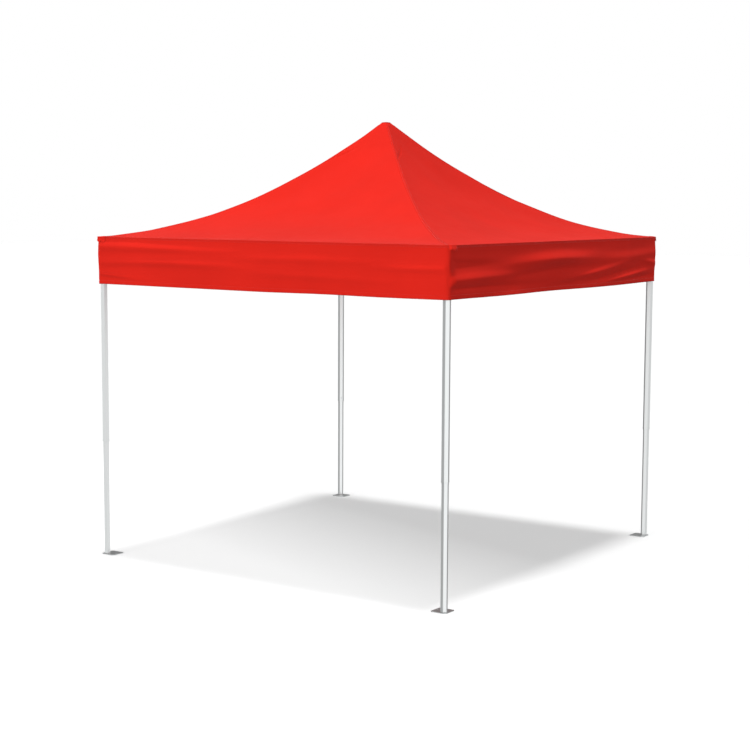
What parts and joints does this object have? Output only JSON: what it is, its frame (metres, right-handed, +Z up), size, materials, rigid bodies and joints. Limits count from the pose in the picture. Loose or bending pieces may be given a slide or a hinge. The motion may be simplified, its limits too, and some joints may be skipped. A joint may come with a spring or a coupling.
{
  "type": "pop up canopy",
  "caption": "Square pop up canopy: pyramid cloth roof with a valance on a folding scissor frame and telescopic hexagonal legs with foot plates.",
  "frame": {"origin": "on the ground, at the centre of the four legs", "axes": "+Z up; the front side faces -Y"},
  "size_m": [2.988, 2.988, 3.148],
  "materials": {
    "cover_cloth": "coated polyester weave, slightly sheeny",
    "leg_aluminium": "satin anodised extrusion",
    "bar_aluminium": "satin extrusion",
    "mast_aluminium": "satin drawn tube",
    "bracket_plastic": "moulded nylon, fine grain",
    "pin_plastic": "moulded knob",
    "button_steel": "turned steel"
  },
  "bodies": {
    "top_hub": {"top_hub": "bracket_plastic", "canopy_cover": "cover_cloth"},
    "arm_falling_front": {"arm_falling_front": "bar_aluminium"},
    "arm_rising_front": {"arm_rising_front": "bar_aluminium"},
    "mid_top_front": {"mid_top_front": "bracket_plastic"},
    "mid_bottom_front": {"mid_bottom_front": "bracket_plastic"},
    "side_falling_front_to_right": {"side_falling_front_to_right": "bar_aluminium"},
    "side_rising_front_to_right": {"side_rising_front_to_right": "bar_aluminium"},
    "leg_front_right": {"leg_front_right": "leg_aluminium", "corner_bracket_front_right": "bracket_plastic"},
    "slider_front_right": {"slider_front_right": "bracket_plastic"},
    "lower_leg_front_right": {"lower_leg_front_right": "leg_aluminium"},
    "leg_button_front_right": {"leg_button_front_right": "button_steel"},
    "slider_pin_front_right": {"slider_pin_front_right": "pin_plastic"},
    "side_falling_front_to_left": {"side_falling_front_to_left": "bar_aluminium"},
    "side_rising_front_to_left": {"side_rising_front_to_left": "bar_aluminium"},
    "arm_falling_right": {"arm_falling_right": "bar_aluminium"},
    "arm_rising_right": {"arm_rising_right": "bar_aluminium"},
    "mid_top_right": {"mid_top_right": "bracket_plastic"},
    "mid_bottom_right": {"mid_bottom_right": "bracket_plastic"},
    "side_falling_right_to_back": {"side_falling_right_to_back": "bar_aluminium"},
    "side_rising_right_to_back": {"side_rising_right_to_back": "bar_aluminium"},
    "leg_back_right": {"leg_back_right": "leg_aluminium", "corner_bracket_back_right": "bracket_plastic"},
    "slider_back_right": {"slider_back_right": "bracket_plastic"},
    "lower_leg_back_right": {"lower_leg_back_right": "leg_aluminium"},
    "leg_button_back_right": {"leg_button_back_right": "button_steel"},
    "slider_pin_back_right": {"slider_pin_back_right": "pin_plastic"},
    "side_falling_right_to_front": {"side_falling_right_to_front": "bar_aluminium"},
    "side_rising_right_to_front": {"side_rising_right_to_front": "bar_aluminium"},
    "arm_falling_back": {"arm_falling_back": "bar_aluminium"},
    "arm_rising_back": {"arm_rising_back": "bar_aluminium"},
    "mid_top_back": {"mid_top_back": "bracket_plastic"},
    "mid_bottom_back": {"mid_bottom_back": "bracket_plastic"},
    "side_falling_back_to_left": {"side_falling_back_to_left": "bar_aluminium"},
    "side_rising_back_to_left": {"side_rising_back_to_left": "bar_aluminium"},
    "leg_back_left": {"leg_back_left": "leg_aluminium", "corner_bracket_back_left": "bracket_plastic"},
    "slider_back_left": {"slider_back_left": "bracket_plastic"},
    "lower_leg_back_left": {"lower_leg_back_left": "leg_aluminium"},
    "leg_button_back_left": {"leg_button_back_left": "button_steel"},
    "slider_pin_back_left": {"slider_pin_back_left": "pin_plastic"},
    "side_falling_back_to_right": {"side_falling_back_to_right": "bar_aluminium"},
    "side_rising_back_to_right": {"side_rising_back_to_right": "bar_aluminium"},
    "arm_falling_left": {"arm_falling_left": "bar_aluminium"},
    "arm_rising_left": {"arm_rising_left": "bar_aluminium"},
    "mid_top_left": {"mid_top_left": "bracket_plastic"},
    "mid_bottom_left": {"mid_bottom_left": "bracket_plastic"},
    "side_falling_left_to_front": {"side_falling_left_to_front": "bar_aluminium"},
    "side_rising_left_to_front": {"side_rising_left_to_front": "bar_aluminium"},
    "leg_front_left": {"leg_front_left": "leg_aluminium", "corner_bracket_front_left": "bracket_plastic"},
    "slider_front_left": {"slider_front_left": "bracket_plastic"},
    "lower_leg_front_left": {"lower_leg_front_left": "leg_aluminium"},
    "leg_button_front_left": {"leg_button_front_left": "button_steel"},
    "slider_pin_front_left": {"slider_pin_front_left": "pin_plastic"},
    "side_falling_left_to_back": {"side_falling_left_to_back": "bar_aluminium"},
    "side_rising_left_to_back": {"side_rising_left_to_back": "bar_aluminium"},
    "lower_hub": {"lower_hub": "bracket_plastic"},
    "mast_tip": {"mast_tip": "mast_aluminium"}
  },
  "joints": [
    {"name": "fold", "type": "hinge", "parent": "top_hub", "child": "arm_falling_front", "pos_m": [0, -0.051, 2.262], "axis": [1, 0, 0], "range_deg": [0, 79], "deforming": ["canopy_cover"]},
    {"name": "mid_bottom_front_hinge", "type": "hinge", "parent": "arm_falling_front", "child": "mid_bottom_front", "pos_m": [0, -1.404, 2.062], "axis": [-1, 0, 0], "range_deg": [0, 79]},
    {"name": "arm_rising_front_hinge", "type": "hinge", "parent": "arm_falling_front", "child": "arm_rising_front", "pos_m": [0, -0.7275, 2.162], "axis": [-1, 0, 0], "range_deg": [0, 158]},
    {"name": "mid_top_front_hinge", "type": "hinge", "parent": "arm_rising_front", "child": "mid_top_front", "pos_m": [0, -1.404, 2.262], "axis": [1, 0, 0], "range_deg": [0, 79]},
    {"name": "side_rising_front_to_right_hinge", "type": "hinge", "parent": "mid_bottom_front", "child": "side_rising_front_to_right", "pos_m": [0.04, -1.455, 2.062], "axis": [0, -1, 0], "range_deg": [0, 79]},
    {"name": "side_falling_front_to_right_hinge", "type": "hinge", "parent": "mid_top_front", "child": "side_falling_front_to_right", "pos_m": [0.04, -1.455, 2.262], "axis": [0, 1, 0], "range_deg": [0, 79]},
    {"name": "leg_front_right_hinge", "type": "hinge", "parent": "side_rising_front_to_right", "child": "leg_front_right", "pos_m": [1.393, -1.455, 2.262], "axis": [0, 1, 0], "range_deg": [0, 79]},
    {"name": "slider_front_right_hinge", "type": "hinge", "parent": "side_falling_front_to_right", "child": "slider_front_right", "pos_m": [1.393, -1.455, 2.062], "axis": [0, -1, 0], "range_deg": [0, 79]},
    {"name": "lower_leg_front_right_slide", "type": "slide", "parent": "leg_front_right", "child": "lower_leg_front_right", "axis": [0, 0, 1], "range_m": [0, 0.82]},
    {"name": "leg_button_front_right_press", "type": "slide", "parent": "lower_leg_front_right", "child": "leg_button_front_right", "axis": [0.7071, -0.7071, 0], "range_m": [-0.006, 0]},
    {"name": "slider_pin_front_right_pull", "type": "slide", "parent": "slider_front_right", "child": "slider_pin_front_right", "axis": [-0.7071, 0.7071, 0], "range_m": [-0.005, 0]},
    {"name": "side_rising_front_to_left_hinge", "type": "hinge", "parent": "mid_bottom_front", "child": "side_rising_front_to_left", "pos_m": [-0.04, -1.455, 2.062], "axis": [0, 1, 0], "range_deg": [0, 79]},
    {"name": "side_falling_front_to_left_hinge", "type": "hinge", "parent": "mid_top_front", "child": "side_falling_front_to_left", "pos_m": [-0.04, -1.455, 2.262], "axis": [0, -1, 0], "range_deg": [0, 79]},
    {"name": "arm_falling_right_hinge", "type": "hinge", "parent": "top_hub", "child": "arm_falling_right", "pos_m": [0.051, 0, 2.262], "axis": [0, 1, 0], "range_deg": [0, 79]},
    {"name": "mid_bottom_right_hinge", "type": "hinge", "parent": "arm_falling_right", "child": "mid_bottom_right", "pos_m": [1.404, 0, 2.062], "axis": [0, -1, 0], "range_deg": [0, 79]},
    {"name": "arm_rising_right_hinge", "type": "hinge", "parent": "arm_falling_right", "child": "arm_rising_right", "pos_m": [0.7275, 0, 2.162], "axis": [0, -1, 0], "range_deg": [0, 158]},
    {"name": "mid_top_right_hinge", "type": "hinge", "parent": "arm_rising_right", "child": "mid_top_right", "pos_m": [1.404, 0, 2.262], "axis": [0, 1, 0], "range_deg": [0, 79]},
    {"name": "side_rising_right_to_back_hinge", "type": "hinge", "parent": "mid_bottom_right", "child": "side_rising_right_to_back", "pos_m": [1.455, 0.04, 2.062], "axis": [1, 0, 0], "range_deg": [0, 79]},
    {"name": "side_falling_right_to_back_hinge", "type": "hinge", "parent": "mid_top_right", "child": "side_falling_right_to_back", "pos_m": [1.455, 0.04, 2.262], "axis": [-1, 0, 0], "range_deg": [0, 79]},
    {"name": "leg_back_right_hinge", "type": "hinge", "parent": "side_rising_right_to_back", "child": "leg_back_right", "pos_m": [1.455, 1.393, 2.262], "axis": [-1, 0, 0], "range_deg": [0, 79]},
    {"name": "slider_back_right_hinge", "type": "hinge", "parent": "side_falling_right_to_back", "child": "slider_back_right", "pos_m": [1.455, 1.393, 2.062], "axis": [1, 0, 0], "range_deg": [0, 79]},
    {"name": "lower_leg_back_right_slide", "type": "slide", "parent": "leg_back_right", "child": "lower_leg_back_right", "axis": [0, 0, 1], "range_m": [0, 0.82]},
    {"name": "leg_button_back_right_press", "type": "slide", "parent": "lower_leg_back_right", "child": "leg_button_back_right", "axis": [0.7071, 0.7071, 0], "range_m": [-0.006, 0]},
    {"name": "slider_pin_back_right_pull", "type": "slide", "parent": "slider_back_right", "child": "slider_pin_back_right", "axis": [-0.7071, -0.7071, 0], "range_m": [-0.005, 0]},
    {"name": "side_rising_right_to_front_hinge", "type": "hinge", "parent": "mid_bottom_right", "child": "side_rising_right_to_front", "pos_m": [1.455, -0.04, 2.062], "axis": [-1, 0, 0], "range_deg": [0, 79]},
    {"name": "side_falling_right_to_front_hinge", "type": "hinge", "parent": "mid_top_right", "child": "side_falling_right_to_front", "pos_m": [1.455, -0.04, 2.262], "axis": [1, 0, 0], "range_deg": [0, 79]},
    {"name": "arm_falling_back_hinge", "type": "hinge", "parent": "top_hub", "child": "arm_falling_back", "pos_m": [0, 0.051, 2.262], "axis": [-1, 0, 0], "range_deg": [0, 79]},
    {"name": "mid_bottom_back_hinge", "type": "hinge", "parent": "arm_falling_back", "child": "mid_bottom_back", "pos_m": [0, 1.404, 2.062], "axis": [1, 0, 0], "range_deg": [0, 79]},
    {"name": "arm_rising_back_hinge", "type": "hinge", "parent": "arm_falling_back", "child": "arm_rising_back", "pos_m": [0, 0.7275, 2.162], "axis": [1, 0, 0], "range_deg": [0, 158]},
    {"name": "mid_top_back_hinge", "type": "hinge", "parent": "arm_rising_back", "child": "mid_top_back", "pos_m": [0, 1.404, 2.262], "axis": [-1, 0, 0], "range_deg": [0, 79]},
    {"name": "side_rising_back_to_left_hinge", "type": "hinge", "parent": "mid_bottom_back", "child": "side_rising_back_to_left", "pos_m": [-0.04, 1.455, 2.062], "axis": [0, 1, 0], "range_deg": [0, 79]},
    {"name": "side_falling_back_to_left_hinge", "type": "hinge", "parent": "mid_top_back", "child": "side_falling_back_to_left", "pos_m": [-0.04, 1.455, 2.262], "axis": [0, -1, 0], "range_deg": [0, 79]},
    {"name": "leg_back_left_hinge", "type": "hinge", "parent": "side_rising_back_to_left", "child": "leg_back_left", "pos_m": [-1.393, 1.455, 2.262], "axis": [0, -1, 0], "range_deg": [0, 79]},
    {"name": "slider_back_left_hinge", "type": "hinge", "parent": "side_falling_back_to_left", "child": "slider_back_left", "pos_m": [-1.393, 1.455, 2.062], "axis": [0, 1, 0], "range_deg": [0, 79]},
    {"name": "lower_leg_back_left_slide", "type": "slide", "parent": "leg_back_left", "child": "lower_leg_back_left", "axis": [0, 0, 1], "range_m": [0, 0.82]},
    {"name": "leg_button_back_left_press", "type": "slide", "parent": "lower_leg_back_left", "child": "leg_button_back_left", "axis": [-0.7071, 0.7071, 0], "range_m": [-0.006, 0]},
    {"name": "slider_pin_back_left_pull", "type": "slide", "parent": "slider_back_left", "child": "slider_pin_back_left", "axis": [0.7071, -0.7071, 0], "range_m": [-0.005, 0]},
    {"name": "side_rising_back_to_right_hinge", "type": "hinge", "parent": "mid_bottom_back", "child": "side_rising_back_to_right", "pos_m": [0.04, 1.455, 2.062], "axis": [0, -1, 0], "range_deg": [0, 79]},
    {"name": "side_falling_back_to_right_hinge", "type": "hinge", "parent": "mid_top_back", "child": "side_falling_back_to_right", "pos_m": [0.04, 1.455, 2.262], "axis": [0, 1, 0], "range_deg": [0, 79]},
    {"name": "arm_falling_left_hinge", "type": "hinge", "parent": "top_hub", "child": "arm_falling_left", "pos_m": [-0.051, 0, 2.262], "axis": [0, -1, 0], "range_deg": [0, 79]},
    {"name": "mid_bottom_left_hinge", "type": "hinge", "parent": "arm_falling_left", "child": "mid_bottom_left", "pos_m": [-1.404, 0, 2.062], "axis": [0, 1, 0], "range_deg": [0, 79]},
    {"name": "arm_rising_left_hinge", "type": "hinge", "parent": "arm_falling_left", "child": "arm_rising_left", "pos_m": [-0.7275, 0, 2.162], "axis": [0, 1, 0], "range_deg": [0, 158]},
    {"name": "mid_top_left_hinge", "type": "hinge", "parent": "arm_rising_left", "child": "mid_top_left", "pos_m": [-1.404, 0, 2.262], "axis": [0, -1, 0], "range_deg": [0, 79]},
    {"name": "side_rising_left_to_front_hinge", "type": "hinge", "parent": "mid_bottom_left", "child": "side_rising_left_to_front", "pos_m": [-1.455, -0.04, 2.062], "axis": [-1, 0, 0], "range_deg": [0, 79]},
    {"name": "side_falling_left_to_front_hinge", "type": "hinge", "parent": "mid_top_left", "child": "side_falling_left_to_front", "pos_m": [-1.455, -0.04, 2.262], "axis": [1, 0, 0], "range_deg": [0, 79]},
    {"name": "leg_front_left_hinge", "type": "hinge", "parent": "side_rising_left_to_front", "child": "leg_front_left", "pos_m": [-1.455, -1.393, 2.262], "axis": [1, 0, 0], "range_deg": [0, 79]},
    {"name": "slider_front_left_hinge", "type": "hinge", "parent": "side_falling_left_to_front", "child": "slider_front_left", "pos_m": [-1.455, -1.393, 2.062], "axis": [-1, 0, 0], "range_deg": [0, 79]},
    {"name": "lower_leg_front_left_slide", "type": "slide", "parent": "leg_front_left", "child": "lower_leg_front_left", "axis": [0, 0, 1], "range_m": [0, 0.82]},
    {"name": "leg_button_front_left_press", "type": "slide", "parent": "lower_leg_front_left", "child": "leg_button_front_left", "axis": [-0.7071, -0.7071, 0], "range_m": [-0.006, 0]},
    {"name": "slider_pin_front_left_pull", "type": "slide", "parent": "slider_front_left", "child": "slider_pin_front_left", "axis": [0.7071, 0.7071, 0], "range_m": [-0.005, 0]},
    {"name": "side_rising_left_to_back_hinge", "type": "hinge", "parent": "mid_bottom_left", "child": "side_rising_left_to_back", "pos_m": [-1.455, 0.04, 2.062], "axis": [1, 0, 0], "range_deg": [0, 79]},
    {"name": "side_falling_left_to_back_hinge", "type": "hinge", "parent": "mid_top_left", "child": "side_falling_left_to_back", "pos_m": [-1.455, 0.04, 2.262], "axis": [-1, 0, 0], "range_deg": [0, 79]},
    {"name": "lower_hub_hinge", "type": "hinge", "parent": "arm_rising_front", "child": "lower_hub", "pos_m": [0, -0.051, 2.062], "axis": [1, 0, 0], "range_deg": [0, 79]},
    {"name": "mast_tip_slide", "type": "slide", "parent": "lower_hub", "child": "mast_tip", "axis": [0, 0, 1], "range_m": [0, 0.345]}
  ],
  "couplings": [
    {"joint": "mid_bottom_front_hinge", "follows": "fold", "ratio": 1},
    {"joint": "arm_rising_front_hinge", "follows": "fold", "ratio": 2},
    {"joint": "mid_top_front_hinge", "follows": "fold", "ratio": 1},
    {"joint": "side_rising_front_to_right_hinge", "follows": "fold", "ratio": 1},
    {"joint": "side_falling_front_to_right_hinge", "follows": "fold", "ratio": 1},
    {"joint": "leg_front_right_hinge", "follows": "fold", "ratio": 1},
    {"joint": "slider_front_right_hinge", "follows": "fold", "ratio": 1},
    {"joint": "side_rising_front_to_left_hinge", "follows": "fold", "ratio": 1},
    {"joint": "side_falling_front_to_left_hinge", "follows": "fold", "ratio": 1},
    {"joint": "arm_falling_right_hinge", "follows": "fold", "ratio": 1},
    {"joint": "mid_bottom_right_hinge", "follows": "fold", "ratio": 1},
    {"joint": "arm_rising_right_hinge", "follows": "fold", "ratio": 2},
    {"joint": "mid_top_right_hinge", "follows": "fold", "ratio": 1},
    {"joint": "side_rising_right_to_back_hinge", "follows": "fold", "ratio": 1},
    {"joint": "side_falling_right_to_back_hinge", "follows": "fold", "ratio": 1},
    {"joint": "leg_back_right_hinge", "follows": "fold", "ratio": 1},
    {"joint": "slider_back_right_hinge", "follows": "fold", "ratio": 1},
    {"joint": "side_rising_right_to_front_hinge", "follows": "fold", "ratio": 1},
    {"joint": "side_falling_right_to_front_hinge", "follows": "fold", "ratio": 1},
    {"joint": "arm_falling_back_hinge", "follows": "fold", "ratio": 1},
    {"joint": "mid_bottom_back_hinge", "follows": "fold", "ratio": 1},
    {"joint": "arm_rising_back_hinge", "follows": "fold", "ratio": 2},
    {"joint": "mid_top_back_hinge", "follows": "fold", "ratio": 1},
    {"joint": "side_rising_back_to_left_hinge", "follows": "fold", "ratio": 1},
    {"joint": "side_falling_back_to_left_hinge", "follows": "fold", "ratio": 1},
    {"joint": "leg_back_left_hinge", "follows": "fold", "ratio": 1},
    {"joint": "slider_back_left_hinge", "follows": "fold", "ratio": 1},
    {"joint": "side_rising_back_to_right_hinge", "follows": "fold", "ratio": 1},
    {"joint": "side_falling_back_to_right_hinge", "follows": "fold", "ratio": 1},
    {"joint": "arm_falling_left_hinge", "follows": "fold", "ratio": 1},
    {"joint": "mid_bottom_left_hinge", "follows": "fold", "ratio": 1},
    {"joint": "arm_rising_left_hinge", "follows": "fold", "ratio": 2},
    {"joint": "mid_top_left_hinge", "follows": "fold", "ratio": 1},
    {"joint": "side_rising_left_to_front_hinge", "follows": "fold", "ratio": 1},
    {"joint": "side_falling_left_to_front_hinge", "follows": "fold", "ratio": 1},
    {"joint": "leg_front_left_hinge", "follows": "fold", "ratio": 1},
    {"joint": "slider_front_left_hinge", "follows": "fold", "ratio": 1},
    {"joint": "side_rising_left_to_back_hinge", "follows": "fold", "ratio": 1},
    {"joint": "side_falling_left_to_back_hinge", "follows": "fold", "ratio": 1},
    {"joint": "lower_hub_hinge", "follows": "fold", "ratio": 1},
    {"joint": "mast_tip_slide", "follows": "fold", "m_per_rad": 0.2501}
  ]
}
